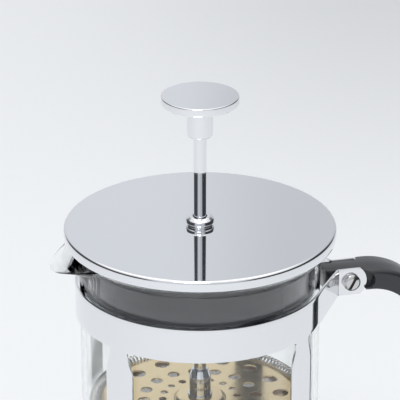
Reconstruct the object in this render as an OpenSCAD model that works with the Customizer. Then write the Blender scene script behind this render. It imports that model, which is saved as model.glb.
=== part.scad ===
// French press, millimetres, +Z up.
// The origin is on the beaker's axis, at the level of the surface the press stands on.
// The handle points along +X and the spout along -X.

/* [Overall] */
// Height of the lid's top face above the table
lid_top_z = 165; // [130:1:200]
// Outside radius of the glass beaker
glass_r = 48; // [40:0.5:58]
// Height of the knob's hub above the lid when the plunger is drawn up
knob_lift = 37.9; // [20:0.1:60]
// Depth of the filter plate's top below the lid
filter_depth = 76.7; // [60:0.1:92]

/* [Beaker] */
// Wall of the glass beaker
glass_wall = 2; // [1.6:0.1:2.6]
// Base of the glass beaker
glass_base = 2.4; // [1.8:0.1:3.5]
// Rounding between the beaker's wall and its base
glass_corner = 7; // [5:0.5:12]
// Depth of the glass rim below the lid's top face
rim_depth = 6.7; // [6:0.1:9]
// Radius of the rim's bead
bead_r = 1.1; // [0.8:0.1:1.5]
// Depth that the bead is sunk into the wall
bead_sink = 0.2; // [0.1:0.05:0.4]
// Length of the spout beyond the beaker's outside
spout_length = 13.4; // [9:0.1:18]
// Drop of the spout's tip below the rim
spout_drop = 4.8; // [3:0.1:8]
// Radius of the spout's tip
spout_tip_r = 3.2; // [2.6:0.1:5]
// Half angle that the spout takes from the rim
spout_half_angle = 21; // [15:1:26]

/* [Frame] */
// Thickness of the frame's sheet steel
sheet = 0.8; // [0.6:0.1:1.2]
// Height of the upper band
band_h = 13.9; // [12:0.1:18]
// Depth of the upper band's top edge below the lid's top face
band_depth = 22.5; // [20:0.1:30]
// Height of the lower band
lower_band_h = 12.5; // [11.5:0.1:18]
// Width of a leg
leg_w = 13.3; // [10:0.1:18]
// Width of a leg's neck, where it leaves the upper band
leg_neck_w = 8.6; // [6:0.1:9.8]
// Height of a leg's straight neck below the upper band
leg_neck_h = 0.8; // [0.5:0.1:4]
// Height over which a leg widens from its neck to its full width
leg_taper_h = 10; // [6:0.5:16]
// Angle of the front legs from the handle
front_leg_angle = 50; // [48:0.5:60]
// Angle of the rear legs from the handle
rear_leg_angle = 143.5; // [130:0.5:150]
// Step from a leg's width to the width of its arm of the foot cross
foot_step = 1.3; // [0.8:0.1:3]
// Radius of the middle of the foot cross
cross_hub_r = 15; // [11:0.5:20]

/* [Base ring] */
// Height of the base ring's seat above the table
seat_z = 4; // [3:0.1:8]
// Width of the base ring's flat
base_ring_w = 17.5; // [10:0.5:19]
// Step from the beaker's outside to the base ring's edge
base_ring_inset = 0.5; // [0:0.1:3]

/* [Clamp ears] */
// Distance of the ears' folds from the upper band's outside
ear_stand = 6.15; // [5:0.05:8]
// Distance of the clamp screws from the ears' folds
screw_from_fold = 5.6; // [5:0.1:8]
// Height of an ear
ear_h = 11.4; // [9.5:0.1:13.4]
// Amount by which the ear's end radius exceeds half its height
ear_end_extra = 1.6; // [1:0.1:3]
// Distance of the ear's end arc's centre behind the screw
ear_arc_back = 0.8; // [0:0.1:1.5]
// Drop of the ear's top edge below the upper band's top edge
ear_drop = 1.7; // [0:0.1:2]
// Length over which a strap narrows from its band's height to its ear's
strap_taper = 12; // [8:0.5:14]
// Length of a strap that is let into the end of its band
strap_root = 0.6; // [0.4:0.1:1]
// Step from a band's faces to its straps' faces
strap_step = 0.05; // [0.04:0.01:0.1]

/* [Handle] */
// Thickness of the handle, seen from the side
handle_t = 9.4; // [7:0.1:12]
// Width of the handle
handle_w = 16; // [14:0.1:22]
// Depth of the recess for an ear in the side of the handle
recess_depth = 3.6; // [1:0.1:4]
// Gap between an ear's round end and the round end of its recess
recess_gap = 2.8; // [1:0.1:4]
// Skin left above and below the round end of a recess
recess_skin = 0.4; // [0.2:0.1:1]
// Distance of the grip's outer face from the upper band's outside
handle_out = 48.1; // [40:0.1:70]
// Outer radius of the handle's upper corner
upper_corner_r = 28.6; // [18:0.1:30]
// Outer radius of the handle's lower corner
lower_corner_r = 26; // [18:0.1:30]
// Rise of the upper arm's centre above its clamp screw
arm_rise = 0.9; // [0:0.1:1.5]
// Height of the lower clamp screw and the lower arm's centre above the table
lower_screw_z = 38; // [30:0.5:50]

/* [Clamp screws] */
// Radius of the clamp screws' thread
screw_r = 2; // [1.5:0.1:2.6]
// Amount by which the screw's head is wider than its thread, on each side
screw_head_out = 1.5; // [1:0.1:2]
// Height of the screw head
screw_head_h = 2.4; // [1.8:0.1:3]
// Chamfer of the screw head
screw_head_edge = 0.7; // [0.4:0.1:1]
// Width of the driver slot
slot_w = 1.1; // [0.8:0.1:1.3]
// Depth of the driver slot
slot_d = 1.2; // [0.8:0.1:1.5]
// Turn of the driver slot from the horizontal
slot_turn = 62; // [0:1:180]
// Wall of the nut between its thread and its flats
nut_wall = 1.5; // [1:0.1:2.5]
// Height of the nut
nut_h = 2.8; // [2.4:0.1:4]
// Length of the screw that stands out of its nut
screw_end = 0.6; // [0.2:0.1:2]

/* [Lid] */
// Overhang of the lid cap beyond the beaker's outside
lid_overhang = 6; // [5:0.1:8]
// Sheet of the lid cap
cap_sheet = 0.8; // [0.6:0.1:1]
// Depth of the cap's rim
cap_h = 4.4; // [4:0.1:5.5]
// Rounding of the cap's top edge
cap_edge_r = 1.2; // [0.9:0.1:1.5]
// Wall of the insert's collar
collar_wall = 1.6; // [1.2:0.1:2.2]
// Depth of the collar's lower edge below the lid's top face
collar_depth = 25; // [20:0.1:30]
// Height of the lip round the collar's lower edge
lip_h = 2; // [1:0.1:3]
// Thickness of the insert's web and flange
web_t = 1.8; // [1.4:0.1:2]
// Number of pouring slots in the collar
slot_count = 9; // [5:1:11]
// Angle between pouring slots
slot_pitch = 4.4; // [4:0.1:5]
// Width of a pouring slot
pour_slot_w = 2.4; // [1.2:0.1:2.6]
// Height of the pouring slots
pour_slot_h = 14; // [6:0.5:15]
// Drop of the pouring slots' top below the flange
pour_slot_drop = 1; // [0.5:0.1:2]

/* [Guide] */
// Wall of the guide bush's sleeve
bush_wall = 1.15; // [0.8:0.05:1.6]
// Width of the guide bush's flange
bush_flange_w = 3.3; // [2:0.1:6]
// Thickness of the guide bush's flange
bush_flange_t = 1.2; // [1:0.1:2]
// Length of the guide bush's sleeve below its flange
bush_tail = 3; // [2:0.5:8]
// Wall of the domed guide nut
guide_nut_wall = 1.9; // [1.7:0.1:4]
// Height of the domed guide nut
guide_nut_h = 3.8; // [3.4:0.1:6]
// Rounding of the domed guide nut
guide_dome_r = 1.6; // [1:0.1:1.8]
// Thickness of the guide nut over the bush
guide_crown = 1.3; // [0.8:0.1:2]

/* [Plunger] */
// Radius of the plunger rod
rod_r = 2.5; // [2:0.05:3.2]
// Step from the rod to its threaded lower end
rod_step = 0.6; // [0.4:0.1:1]
// Wall of the knob's hub
hub_wall = 2.55; // [2:0.05:4]
// Height of the knob's hub
hub_h = 13.3; // [11:0.1:18]
// Depth of the rod's seat in the hub
hub_seat = 9; // [6:0.5:10]
// Chamfer of the hub's lower edge
hub_chamfer = 0.6; // [0.3:0.1:1]
// Radius of the knob's disc
knob_r = 15.3; // [12:0.1:20]
// Thickness of the knob's disc
knob_t = 3.4; // [3:0.1:6]
// Rounding of the disc's edges
knob_edge_r = 0.8; // [0.4:0.1:1.4]

/* [Filter] */
// Sheet of the filter and cross plates
plate_t = 0.8; // [0.6:0.1:1]
// Distance of the filter plate's edge inside the coil's middle circle
plate_inset = 0.95; // [0.7:0.05:1.2]
// Radius of the plate's raised middle
boss_r = 10.6; // [9:0.1:12]
// Height of the plate's raised middle
boss_h = 1.2; // [0.8:0.1:2]
// Width of the slope round the raised middle
boss_slope = 2; // [1:0.1:3]
// Holes in each ring of the filter plate
ring_holes = 16; // [8:1:16]
// Turn of the rings of holes from the handle
ring_turn = 14.7; // [0:0.1:22.5]
// Distance of the inner ring of holes outside the raised middle
inner_ring_out = 4.6; // [3.6:0.1:5]
// Distance of the outer ring of holes inside the plate's edge
outer_ring_in = 8.9; // [4.5:0.1:9]
// Place of the middle ring between the inner ring at 0 and the outer one at 1
middle_ring_at = 0.43; // [0.35:0.01:0.55]
// Radius of the inner ring's holes
inner_hole_r = 1.52; // [1:0.02:1.6]
// Radius of the middle ring's holes
middle_hole_r = 2.45; // [1.5:0.05:2.5]
// Radius of the outer ring's holes
outer_hole_r = 3.15; // [2:0.05:3.15]
// Radius of the wound edge coil's tube
coil_r = 2.75; // [2.2:0.05:3.3]
// Wire of the edge coil
coil_wire = 0.5; // [0.4:0.05:0.6]
// Wall of the filter hub
filter_hub_wall = 1.85; // [1.4:0.05:3]
// Height of the filter hub's cylinder
filter_hub_h = 9; // [6:0.5:12]
// Wall at the top of the filter hub's cone
hub_top_wall = 0.8; // [0.5:0.1:1.2]
// Height of the filter hub's cone
hub_cone_h = 3; // [2:0.1:5]
// Width of the rim round the filter hub's foot
hub_foot_out = 0.6; // [0.3:0.1:1.5]
// Height of the rim round the filter hub's foot
hub_foot_h = 1.2; // [0.8:0.1:2]
// Thickness of the woven screen
mesh_t = 0.3; // [0.2:0.05:0.4]
// Distance of the screen's edge inside the coil's outside
mesh_inset = 0.4; // [0.3:0.1:1]
// Distance inside the plate's edge at which the screen starts to dish
dish_from = 8.5; // [6:0.1:10]
// Distance inside the plate's edge at which the screen is flat again
dish_to = 3; // [2:0.1:4]
// Width of the cross plate's arms
arm_w = 8; // [6:0.5:12]
// Radius of the cross plate's middle
cross_mid_r = 11; // [8:0.5:13]
// Width of the cross plate's rim
cross_rim_w = 4.5; // [3:0.5:5]
// Wall of the nut below the cross plate
cross_nut_wall = 2.3; // [1.5:0.1:4]
// Height of the nut below the cross plate
cross_nut_h = 3; // [2:0.1:5]

/* [Clearances] */
// Radial clearance of every turning or sliding fit
run_gap = 0.05; // [0.01:0.01:0.1]
// Radial gap between the upper band and the glass
band_gap = 1.1; // [0.6:0.1:2]
// Gap between the upper band and the spout's root
spout_gap = 1.4; // [0.8:0.1:4]
// Radial gap between the filter's edge and the glass
filter_gap = 0.3; // [0.2:0.05:0.6]
// Radial gap between the lid's collar and the glass
collar_gap = 0.5; // [0.3:0.05:1]
// Radial gap between the lid's flange and the cap's rim
flange_gap = 2.8; // [0.4:0.1:3]
// Gap between the lid's flange and the glass rim
lid_gap = 0.2; // [0.1:0.05:0.4]
// Gap between the handle's tongues and the lower band's outside
tongue_gap = 0.4; // [0.2:0.1:2]
// Gap between an ear's round end and the shoulders of its recess
shoulder_gap = 0.25; // [0.1:0.05:0.6]
// Clearance around the clamp screws in their holes
screw_gap = 0.2; // [0.1:0.05:0.4]
// Clearance of the guide nut's hole around the rod
guide_nut_gap = 0.3; // [0.1:0.05:0.6]
// Clearance of the edge coil's split around the filter plate
coil_slot_gap = 0.3; // [0.1:0.05:0.6]

/* [Hidden] */
$fn = 96;

eps = 0.01;
far = 200;

// Frame
band_in_r = glass_r + band_gap;
band_r = band_in_r + sheet;
band_top_z = lid_top_z - band_depth;
band_low_z = band_top_z - band_h;
leg_neck_z = band_low_z - leg_neck_h;
foot_w = leg_w - foot_step;
upper_screw_z = band_top_z - ear_drop - ear_h / 2;
ear_fold_x = band_r + ear_stand;
screw_x = ear_fold_x + screw_from_fold;
ear_end_r = ear_h / 2 + ear_end_extra;
tongue_w = handle_w - 2 * recess_depth;
ear_in_y = tongue_w / 2;
ear_out_y = ear_in_y + sheet;
ear_mid_y = ear_in_y + sheet / 2;
lower_band_in_r = band_r;
lower_band_r = lower_band_in_r + sheet;
lower_band_z = lower_screw_z - lower_band_h / 2;
base_ring_r = glass_r - base_ring_inset;
base_ring_in_r = base_ring_r - base_ring_w;

// Handle
arm_top_z = upper_screw_z + arm_rise + handle_t / 2;
arm_low_z = lower_screw_z - handle_t / 2;
handle_reach = band_r + handle_out;
tongue_start_x = lower_band_r + tongue_gap;
ear_arc_x = screw_x - ear_arc_back;
recess_r = handle_t / 2 - recess_skin;
recess_x = ear_arc_x + ear_end_r + recess_gap - recess_r;

// Clamp screws
screw_head_r = screw_r + screw_head_out;
nut_af = 2 * (screw_r + nut_wall);

// Beaker
rim_z = lid_top_z - rim_depth;
glass_in_r = glass_r - glass_wall;
bead_ring_r = glass_r + bead_r - bead_sink;
bead_z = rim_z - bead_r;
spout_reach = glass_r + spout_length;
spout_root_z = band_top_z + spout_gap;
spout_tip_z = rim_z - spout_drop;

// Lid
lid_r = glass_r + lid_overhang;
flange_r = lid_r - cap_sheet - flange_gap;
cap_low_z = lid_top_z - cap_h;
web_low_z = lid_top_z - cap_sheet - web_t;
flange_low_z = rim_z + lid_gap;
collar_r = glass_in_r - collar_gap;
collar_in_r = collar_r - collar_wall;
collar_low_z = lid_top_z - collar_depth;
lip_out = collar_gap / 2;

// Guide
bush_in_r = rod_r + run_gap;
bush_r = bush_in_r + bush_wall;
cap_hole_r = bush_r + run_gap;
bush_flange_r = bush_r + bush_flange_w;
guide_nut_r = bush_r + guide_nut_wall;
guide_nut_top_z = lid_top_z + guide_nut_h;
bush_top_z = guide_nut_top_z - guide_crown;
bush_flange_z = web_low_z - bush_flange_t;

// Plunger
hub_low_z = lid_top_z + knob_lift;
hub_r = rod_r + run_gap + hub_wall;
knob_low_z = hub_low_z + hub_h;
rod_tip_r = rod_r - rod_step;
tip_hole_r = rod_tip_r + run_gap;
filter_hub_r = rod_r + run_gap + filter_hub_wall;
hub_foot_r = filter_hub_r + hub_foot_out;
hub_top_r = rod_r + hub_top_wall;
cross_nut_r = rod_tip_r + cross_nut_wall;

// Filter
plate_top_z = lid_top_z - filter_depth;
plate_low_z = plate_top_z - plate_t;
boss_top_z = plate_top_z + boss_h;
coil_z = plate_top_z - plate_t / 2;
coil_ring_r = glass_in_r - filter_gap - coil_r;
plate_r = coil_ring_r - plate_inset;
inner_ring_r = boss_r + inner_ring_out;
outer_ring_r = plate_r - outer_ring_in;
middle_ring_r = inner_ring_r + (outer_ring_r - inner_ring_r) * middle_ring_at;
mesh_low_z = coil_z - coil_r - mesh_t;
mesh_r = coil_ring_r + coil_r - mesh_inset;
dish_in_r = plate_r - dish_from;
dish_out_r = plate_r - dish_to;
cross_r = coil_ring_r;
cross_top_z = plate_low_z - mesh_t;
cross_low_z = mesh_low_z - plate_t;
rod_tip_z = cross_top_z - plate_t - cross_nut_h;

// ---- helpers ----

// A ring about the Z axis
module ring(r_out, r_in, z_low, h) {
    translate([0, 0, z_low])
        difference() {
            cylinder(r = r_out, h = h);
            translate([0, 0, -1]) cylinder(r = r_in, h = h + 2);
        }
}

// A wedge of half angle a about the +X axis
module wedge(a, r, z_low, h) {
    translate([0, 0, z_low])
        linear_extrude(h) polygon([[0, 0], [r, -r * tan(a)], [r, r * tan(a)]]);
}

// Angle from +X at which a strap leaves a band of middle radius r for the fold of its ear
function strap_angle(r) =
    atan2(ear_mid_y, ear_fold_x) + acos(r / norm([ear_fold_x, ear_mid_y]));

// One strap and ear seen from above, on the +Y side, leaving a band of middle radius r
module strap_plan(r) {
    a = strap_angle(r);
    start = [r * cos(a), r * sin(a)] - strap_root * [sin(a), -cos(a)];
    fold = [ear_fold_x, ear_mid_y];
    side = [cos(a), sin(a)] * (sheet / 2 - strap_step);
    polygon([start - side, start + side, fold + side, fold - side]);
    translate(fold) circle(d = sheet);
    translate([ear_fold_x, ear_in_y]) square([far, sheet]);
}

// The same strap and ear seen from the side: the band's height narrows to the ear's
module strap_side(band_low, band_high, ear_mid) {
    ear_low = ear_mid - ear_h / 2;
    ear_high = ear_mid + ear_h / 2;
    polygon([
        [0, band_low], [ear_fold_x - strap_taper, band_low], [ear_fold_x, ear_low],
        [screw_x, ear_low], [screw_x, ear_high],
        [ear_fold_x, ear_high], [ear_fold_x - strap_taper, band_high], [0, band_high]
    ]);
    intersection() {
        translate([ear_arc_x, ear_mid]) circle(r = ear_end_r);
        translate([screw_x - 1, ear_low]) square([far, ear_h]);
    }
}

// The two straps and ears that leave a band of inner radius r_in
module straps(r_in, band_low, h, ear_mid) {
    for (m = [0, 1]) mirror([0, m, 0])
        intersection() {
            linear_extrude(far) strap_plan(r_in + sheet / 2);
            translate([0, far, 0]) rotate([90, 0, 0])
                linear_extrude(far) strap_side(band_low, band_low + h, ear_mid);
        }
}

// The opening in a band of inner radius r_in between the roots of its straps
module band_opening(r_in, band_low, h) {
    wedge(strap_angle(r_in + sheet / 2), far, band_low - 1, h + 2);
}

// The clamp screw's hole through both ears, or through the handle
module screw_hole(z) {
    translate([screw_x, far, z]) rotate([90, 0, 0])
        cylinder(r = screw_r + screw_gap, h = 2 * far);
}

// Half width of a leg at a height, easing from the neck to the full width
function leg_half(z) =
    let (t = min(1, max(0, (leg_neck_z - z) / leg_taper_h)))
    leg_neck_w / 2 + (leg_w - leg_neck_w) / 4 * (1 - cos(180 * t));

// Outline of a leg, seen along its radius, as a prism that the band's cylinder is cut with
module leg_prism(angle) {
    steps = 12;
    rise = [for (i = [0 : steps]) leg_neck_z - leg_taper_h * i / steps];
    rotate([90, 0, 90 + angle])
        linear_extrude(far) polygon(concat(
            [[leg_w / 2, -1], [-leg_w / 2, -1]],
            [for (i = [steps : -1 : 0]) [-leg_half(rise[i]), rise[i]]],
            [[-leg_neck_w / 2, band_top_z - band_h / 2], [leg_neck_w / 2, band_top_z - band_h / 2]],
            [for (i = [0 : steps]) [leg_half(rise[i]), rise[i]]]
        ));
}

// A slotted screw across the handle at height z, its head on the -Y side
module clamp_screw(z) {
    thread_h = 2 * ear_out_y + nut_h + screw_end;
    translate([screw_x, 0, z]) rotate([90, 0, 0])
        difference() {
            union() {
                translate([0, 0, ear_out_y - thread_h]) cylinder(r = screw_r, h = thread_h + eps);
                translate([0, 0, ear_out_y])
                    cylinder(r = screw_head_r, h = screw_head_h - screw_head_edge);
                translate([0, 0, ear_out_y + screw_head_h - screw_head_edge])
                    cylinder(r1 = screw_head_r, r2 = screw_head_r - screw_head_edge, h = screw_head_edge);
            }
            rotate([0, 0, slot_turn])
                translate([-screw_head_r - 1, -slot_w / 2, ear_out_y + screw_head_h - slot_d])
                    cube([2 * screw_head_r + 2, slot_w, slot_d + 1]);
        }
}

// The hexagon nut on the +Y side
module clamp_nut(z) {
    translate([screw_x, ear_out_y + nut_h, z]) rotate([90, 0, 0])
        difference() {
            cylinder(d = nut_af / cos(30), h = nut_h, $fn = 6);
            translate([0, 0, -1]) cylinder(r = screw_r, h = nut_h + 2);
        }
}

// A solid of revolution with its outer lower edge rounded, in the half plane
module rounded_cup_profile(r, low, high, corner) {
    translate([0, low]) square([r - corner, high - low]);
    translate([0, low + corner]) square([r, high - low - corner]);
    translate([r - corner, low + corner]) circle(r = corner);
}

// ---- frame ----

module frame_cage() {
    angles = [front_leg_angle, -front_leg_angle, rear_leg_angle, -rear_leg_angle];
    color("gainsboro")
        difference() {
            union() {
                difference() {
                    intersection() {
                        ring(band_r, band_in_r, 0, band_top_z);
                        union() {
                            translate([0, 0, band_low_z]) cylinder(r = far, h = band_h + 1);
                            for (a = angles) leg_prism(a);
                        }
                    }
                    band_opening(band_in_r, band_low_z, band_h);
                }
                straps(band_in_r, band_low_z, band_h, upper_screw_z);
                intersection() {
                    cylinder(r = band_in_r + sheet / 2, h = sheet);
                    for (a = angles) rotate([0, 0, a])
                        translate([0, -foot_w / 2, -1]) cube([far, foot_w, sheet + 2]);
                }
                cylinder(r = cross_hub_r, h = sheet);
            }
            screw_hole(upper_screw_z);
        }
}

module lower_band() {
    color("silver")
        difference() {
            union() {
                difference() {
                    ring(lower_band_r, lower_band_in_r, lower_band_z, lower_band_h);
                    band_opening(lower_band_in_r, lower_band_z, lower_band_h);
                }
                straps(lower_band_in_r, lower_band_z, lower_band_h, lower_screw_z);
            }
            screw_hole(lower_screw_z);
        }
}

module base_ring() {
    color("lightgray") {
        ring(base_ring_r, base_ring_in_r, seat_z - sheet, sheet);
        ring(base_ring_in_r + sheet, base_ring_in_r, sheet, seat_z - sheet);
    }
}

// Outline of one side of the handle's loop: a rounded rectangle shrunk by inset
module loop_profile(inset) {
    top = arm_top_z - inset;
    low = arm_low_z + inset;
    out = handle_reach - inset;
    upper = upper_corner_r - inset;
    lower = lower_corner_r - inset;
    translate([0, low]) square([out - lower, top - low]);
    translate([0, low]) square([out - upper, top - low]);
    translate([0, low + lower]) square([out, top - low - lower - upper]);
    translate([out - upper, top - upper]) circle(r = upper);
    translate([out - lower, low + lower]) circle(r = lower);
}

module handle() {
    color([0.13, 0.13, 0.14])
        difference() {
            translate([0, handle_w / 2, 0]) rotate([90, 0, 0])
                linear_extrude(handle_w)
                    difference() {
                        loop_profile(0);
                        loop_profile(handle_t);
                        translate([-far, -far]) square([far + tongue_start_x, 3 * far]);
                    }
            for (side = [-1, 1])
                translate([0, side * (ear_in_y + far / 2), 0]) rotate([90, 0, 0])
                    linear_extrude(far, center = true) {
                        translate([ear_arc_x - far, -far]) square([far, 3 * far]);
                        for (z = [upper_screw_z, lower_screw_z])
                            translate([ear_arc_x, z]) circle(r = ear_end_r + shoulder_gap);
                        for (z = [upper_screw_z + arm_rise, lower_screw_z])
                            translate([recess_x, z]) circle(r = recess_r);
                    }
            for (z = [upper_screw_z, lower_screw_z]) screw_hole(z);
        }
}

module upper_clamp_screw() { color("silver") clamp_screw(upper_screw_z); }
module lower_clamp_screw() { color("silver") clamp_screw(lower_screw_z); }
module upper_clamp_nut() { color("gray") clamp_nut(upper_screw_z); }
module lower_clamp_nut() { color("gray") clamp_nut(lower_screw_z); }

// ---- beaker ----

// The spout's solid form, shrunk by inset for its channel and raised by lift
module spout_form(inset, lift) {
    post_r = 1.5;
    post_h = 2;
    channel_turn = 1.6;
    channel_rise = 1.8;
    root_r = glass_r - inset - post_r;
    half = spout_half_angle - inset * channel_turn;
    hull() {
        for (a = [-half, -half / 2, 0, half / 2, half])
            rotate([0, 0, 180 + a])
                translate([root_r, 0, rim_z - post_h + lift])
                    cylinder(r = post_r, h = post_h, $fn = 16);
        translate([spout_tip_r - spout_reach, 0, spout_tip_z - post_h + lift + inset / 2])
            cylinder(r = spout_tip_r - inset / 2, h = post_h, $fn = 32);
        translate([-root_r, 0, spout_root_z + channel_rise * inset])
            cylinder(r = post_r, h = post_h / 2, $fn = 16);
    }
}

module glass_beaker() {
    color([0.8, 0.9, 0.95, 0.4])
        difference() {
            union() {
                rotate_extrude() {
                    rounded_cup_profile(glass_r, seat_z, bead_z, glass_corner);
                    translate([bead_ring_r, bead_z]) circle(r = bead_r);
                    translate([0, bead_z - bead_r / 2]) square([bead_ring_r, bead_r * 3 / 2]);
                }
                spout_form(0, 0);
            }
            rotate_extrude()
                rounded_cup_profile(glass_in_r, seat_z + glass_base, far * 2, glass_corner - glass_wall);
            spout_form(glass_wall, 2);
        }
}

// ---- lid ----

module lid_cap() {
    color([0.88, 0.89, 0.91])
        rotate_extrude()
            difference() {
                union() {
                    translate([0, cap_low_z]) square([lid_r, cap_h - cap_edge_r]);
                    translate([0, lid_top_z - cap_edge_r]) square([lid_r - cap_edge_r, cap_edge_r]);
                    translate([lid_r - cap_edge_r, lid_top_z - cap_edge_r]) circle(r = cap_edge_r);
                }
                translate([-1, cap_low_z - 1])
                    square([lid_r - cap_sheet + 1, cap_h - cap_sheet + 1]);
                translate([-1, cap_low_z - 1]) square([cap_hole_r + 1, cap_h + 2]);
            }
}

module lid_insert() {
    pour_slot_z = flange_low_z - pour_slot_drop - pour_slot_h;
    color([0.16, 0.16, 0.18])
        difference() {
            rotate_extrude() {
                // web under the cap
                translate([cap_hole_r, web_low_z]) square([flange_r - cap_hole_r, web_t]);
                // flange on the glass rim
                translate([collar_in_r, flange_low_z])
                    square([flange_r - collar_in_r, web_low_z - flange_low_z + eps]);
                // collar inside the beaker
                translate([collar_in_r, collar_low_z])
                    square([collar_wall, flange_low_z - collar_low_z + eps]);
                translate([collar_in_r, collar_low_z])
                    square([collar_wall + lip_out, lip_h]);
            }
            for (i = [0 : slot_count - 1])
                rotate([0, 0, 180 + (i - (slot_count - 1) / 2) * slot_pitch])
                    translate([collar_in_r - 1, -pour_slot_w / 2, pour_slot_z])
                        cube([collar_wall + 2, pour_slot_w, pour_slot_h]);
        }
}

module guide_bush() {
    color("silver")
        difference() {
            union() {
                translate([0, 0, bush_flange_z - bush_tail])
                    cylinder(r = bush_r, h = bush_top_z - bush_flange_z + bush_tail);
                translate([0, 0, bush_flange_z]) cylinder(r = bush_flange_r, h = bush_flange_t);
            }
            translate([0, 0, bush_flange_z - bush_tail - 1]) cylinder(r = bush_in_r, h = far);
        }
}

module guide_nut() {
    waist = 0.3;
    color("whitesmoke")
        rotate_extrude()
            difference() {
                union() {
                    translate([0, lid_top_z]) square([guide_nut_r - guide_dome_r, guide_nut_h]);
                    translate([0, lid_top_z]) square([guide_nut_r - waist, guide_nut_h - guide_dome_r]);
                    translate([guide_nut_r - guide_dome_r, guide_nut_top_z - guide_dome_r])
                        circle(r = guide_dome_r);
                }
                translate([-1, lid_top_z - 1]) square([bush_r + 1, bush_top_z - lid_top_z + 1]);
                translate([-1, lid_top_z - 1]) square([rod_r + guide_nut_gap + 1, guide_nut_h + 2]);
            }
}

// ---- plunger ----

module plunger_rod() {
    color("silver") {
        translate([0, 0, boss_top_z])
            cylinder(r = rod_r, h = hub_low_z + hub_seat - boss_top_z);
        translate([0, 0, rod_tip_z])
            cylinder(r = rod_tip_r, h = boss_top_z - rod_tip_z + eps);
    }
}

module knob_hub() {
    color("silver")
        difference() {
            union() {
                translate([0, 0, hub_low_z + hub_chamfer])
                    cylinder(r = hub_r, h = hub_h - hub_chamfer);
                translate([0, 0, hub_low_z])
                    cylinder(r1 = hub_r - hub_chamfer, r2 = hub_r, h = hub_chamfer + eps);
            }
            translate([0, 0, hub_low_z - 1]) cylinder(r = rod_r + run_gap, h = hub_seat + 1);
        }
}

module knob_disc() {
    color("whitesmoke")
        translate([0, 0, knob_low_z])
            rotate_extrude() {
                e = knob_edge_r;
                square([knob_r - e, knob_t]);
                translate([0, e]) square([knob_r, knob_t - 2 * e]);
                translate([knob_r - e, e]) circle(r = e);
                translate([knob_r - e, knob_t - e]) circle(r = e);
            }
}

module filter_hub() {
    color("silver")
        difference() {
            translate([0, 0, boss_top_z]) {
                cylinder(r = hub_foot_r, h = hub_foot_h);
                cylinder(r = filter_hub_r, h = filter_hub_h);
                translate([0, 0, filter_hub_h - eps])
                    cylinder(r1 = filter_hub_r, r2 = hub_top_r, h = hub_cone_h);
            }
            translate([0, 0, boss_top_z - 1]) cylinder(r = rod_r + run_gap, h = far);
        }
}

module filter_plate() {
    rings = [
        [inner_ring_r, inner_hole_r], [middle_ring_r, middle_hole_r], [outer_ring_r, outer_hole_r]
    ];
    color("tan")
        difference() {
            rotate_extrude()
                polygon([
                    [tip_hole_r, boss_top_z - plate_t], [boss_r - boss_slope, boss_top_z - plate_t],
                    [boss_r, plate_low_z], [plate_r, plate_low_z],
                    [plate_r, plate_top_z], [boss_r, plate_top_z],
                    [boss_r - boss_slope, boss_top_z], [tip_hole_r, boss_top_z]
                ]);
            for (k = [0 : len(rings) - 1], i = [0 : ring_holes - 1])
                rotate([0, 0, ring_turn + i * 360 / ring_holes])
                    translate([rings[k][0], 0, plate_low_z - 1])
                        cylinder(r = rings[k][1], h = plate_t + 2, $fn = 24);
        }
}

// The wound coil's outer form, split along its inside for the plate's edge
module edge_coil() {
    color("gray")
        rotate_extrude()
            translate([coil_ring_r, coil_z])
                difference() {
                    circle(r = coil_r);
                    circle(r = coil_r - coil_wire);
                    translate([-coil_r - 1, -plate_t / 2 - coil_slot_gap])
                        square([coil_r + 1, plate_t + 2 * coil_slot_gap]);
                }
}

module mesh_screen() {
    color("dimgray")
        rotate_extrude()
            polygon([
                [tip_hole_r, plate_low_z - mesh_t], [dish_in_r, plate_low_z - mesh_t],
                [dish_out_r, mesh_low_z], [mesh_r, mesh_low_z],
                [mesh_r, mesh_low_z + mesh_t], [dish_out_r, mesh_low_z + mesh_t],
                [dish_in_r, plate_low_z], [tip_hole_r, plate_low_z]
            ]);
}

module cross_plate() {
    color("lightgray")
        difference() {
            rotate_extrude() {
                polygon([
                    [tip_hole_r, cross_top_z - plate_t], [dish_in_r, cross_top_z - plate_t],
                    [dish_out_r, cross_low_z], [cross_r, cross_low_z],
                    [cross_r, cross_low_z + plate_t], [dish_out_r, cross_low_z + plate_t],
                    [dish_in_r, cross_top_z], [tip_hole_r, cross_top_z]
                ]);
                translate([tip_hole_r, cross_top_z - plate_t - cross_nut_h])
                    square([cross_nut_r - tip_hole_r, cross_nut_h + eps]);
            }
            for (q = [0 : 3])
                rotate([0, 0, 90 * q])
                    translate([0, 0, cross_low_z - 1])
                        linear_extrude(cross_top_z - cross_low_z + 2)
                            difference() {
                                translate([arm_w / 2, arm_w / 2]) square(far);
                                circle(r = cross_mid_r);
                                difference() {
                                    circle(r = 2 * far);
                                    circle(r = cross_r - cross_rim_w);
                                }
                            }
        }
}

frame_cage();
lower_band();
base_ring();
handle();
upper_clamp_screw();
upper_clamp_nut();
lower_clamp_screw();
lower_clamp_nut();
glass_beaker();
lid_cap();
lid_insert();
guide_bush();
guide_nut();
plunger_rod();
knob_hub();
knob_disc();
filter_hub();
filter_plate();
edge_coil();
mesh_screen();
cross_plate();
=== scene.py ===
import math

import bmesh
import bpy
from mathutils import Matrix, Vector


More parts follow.
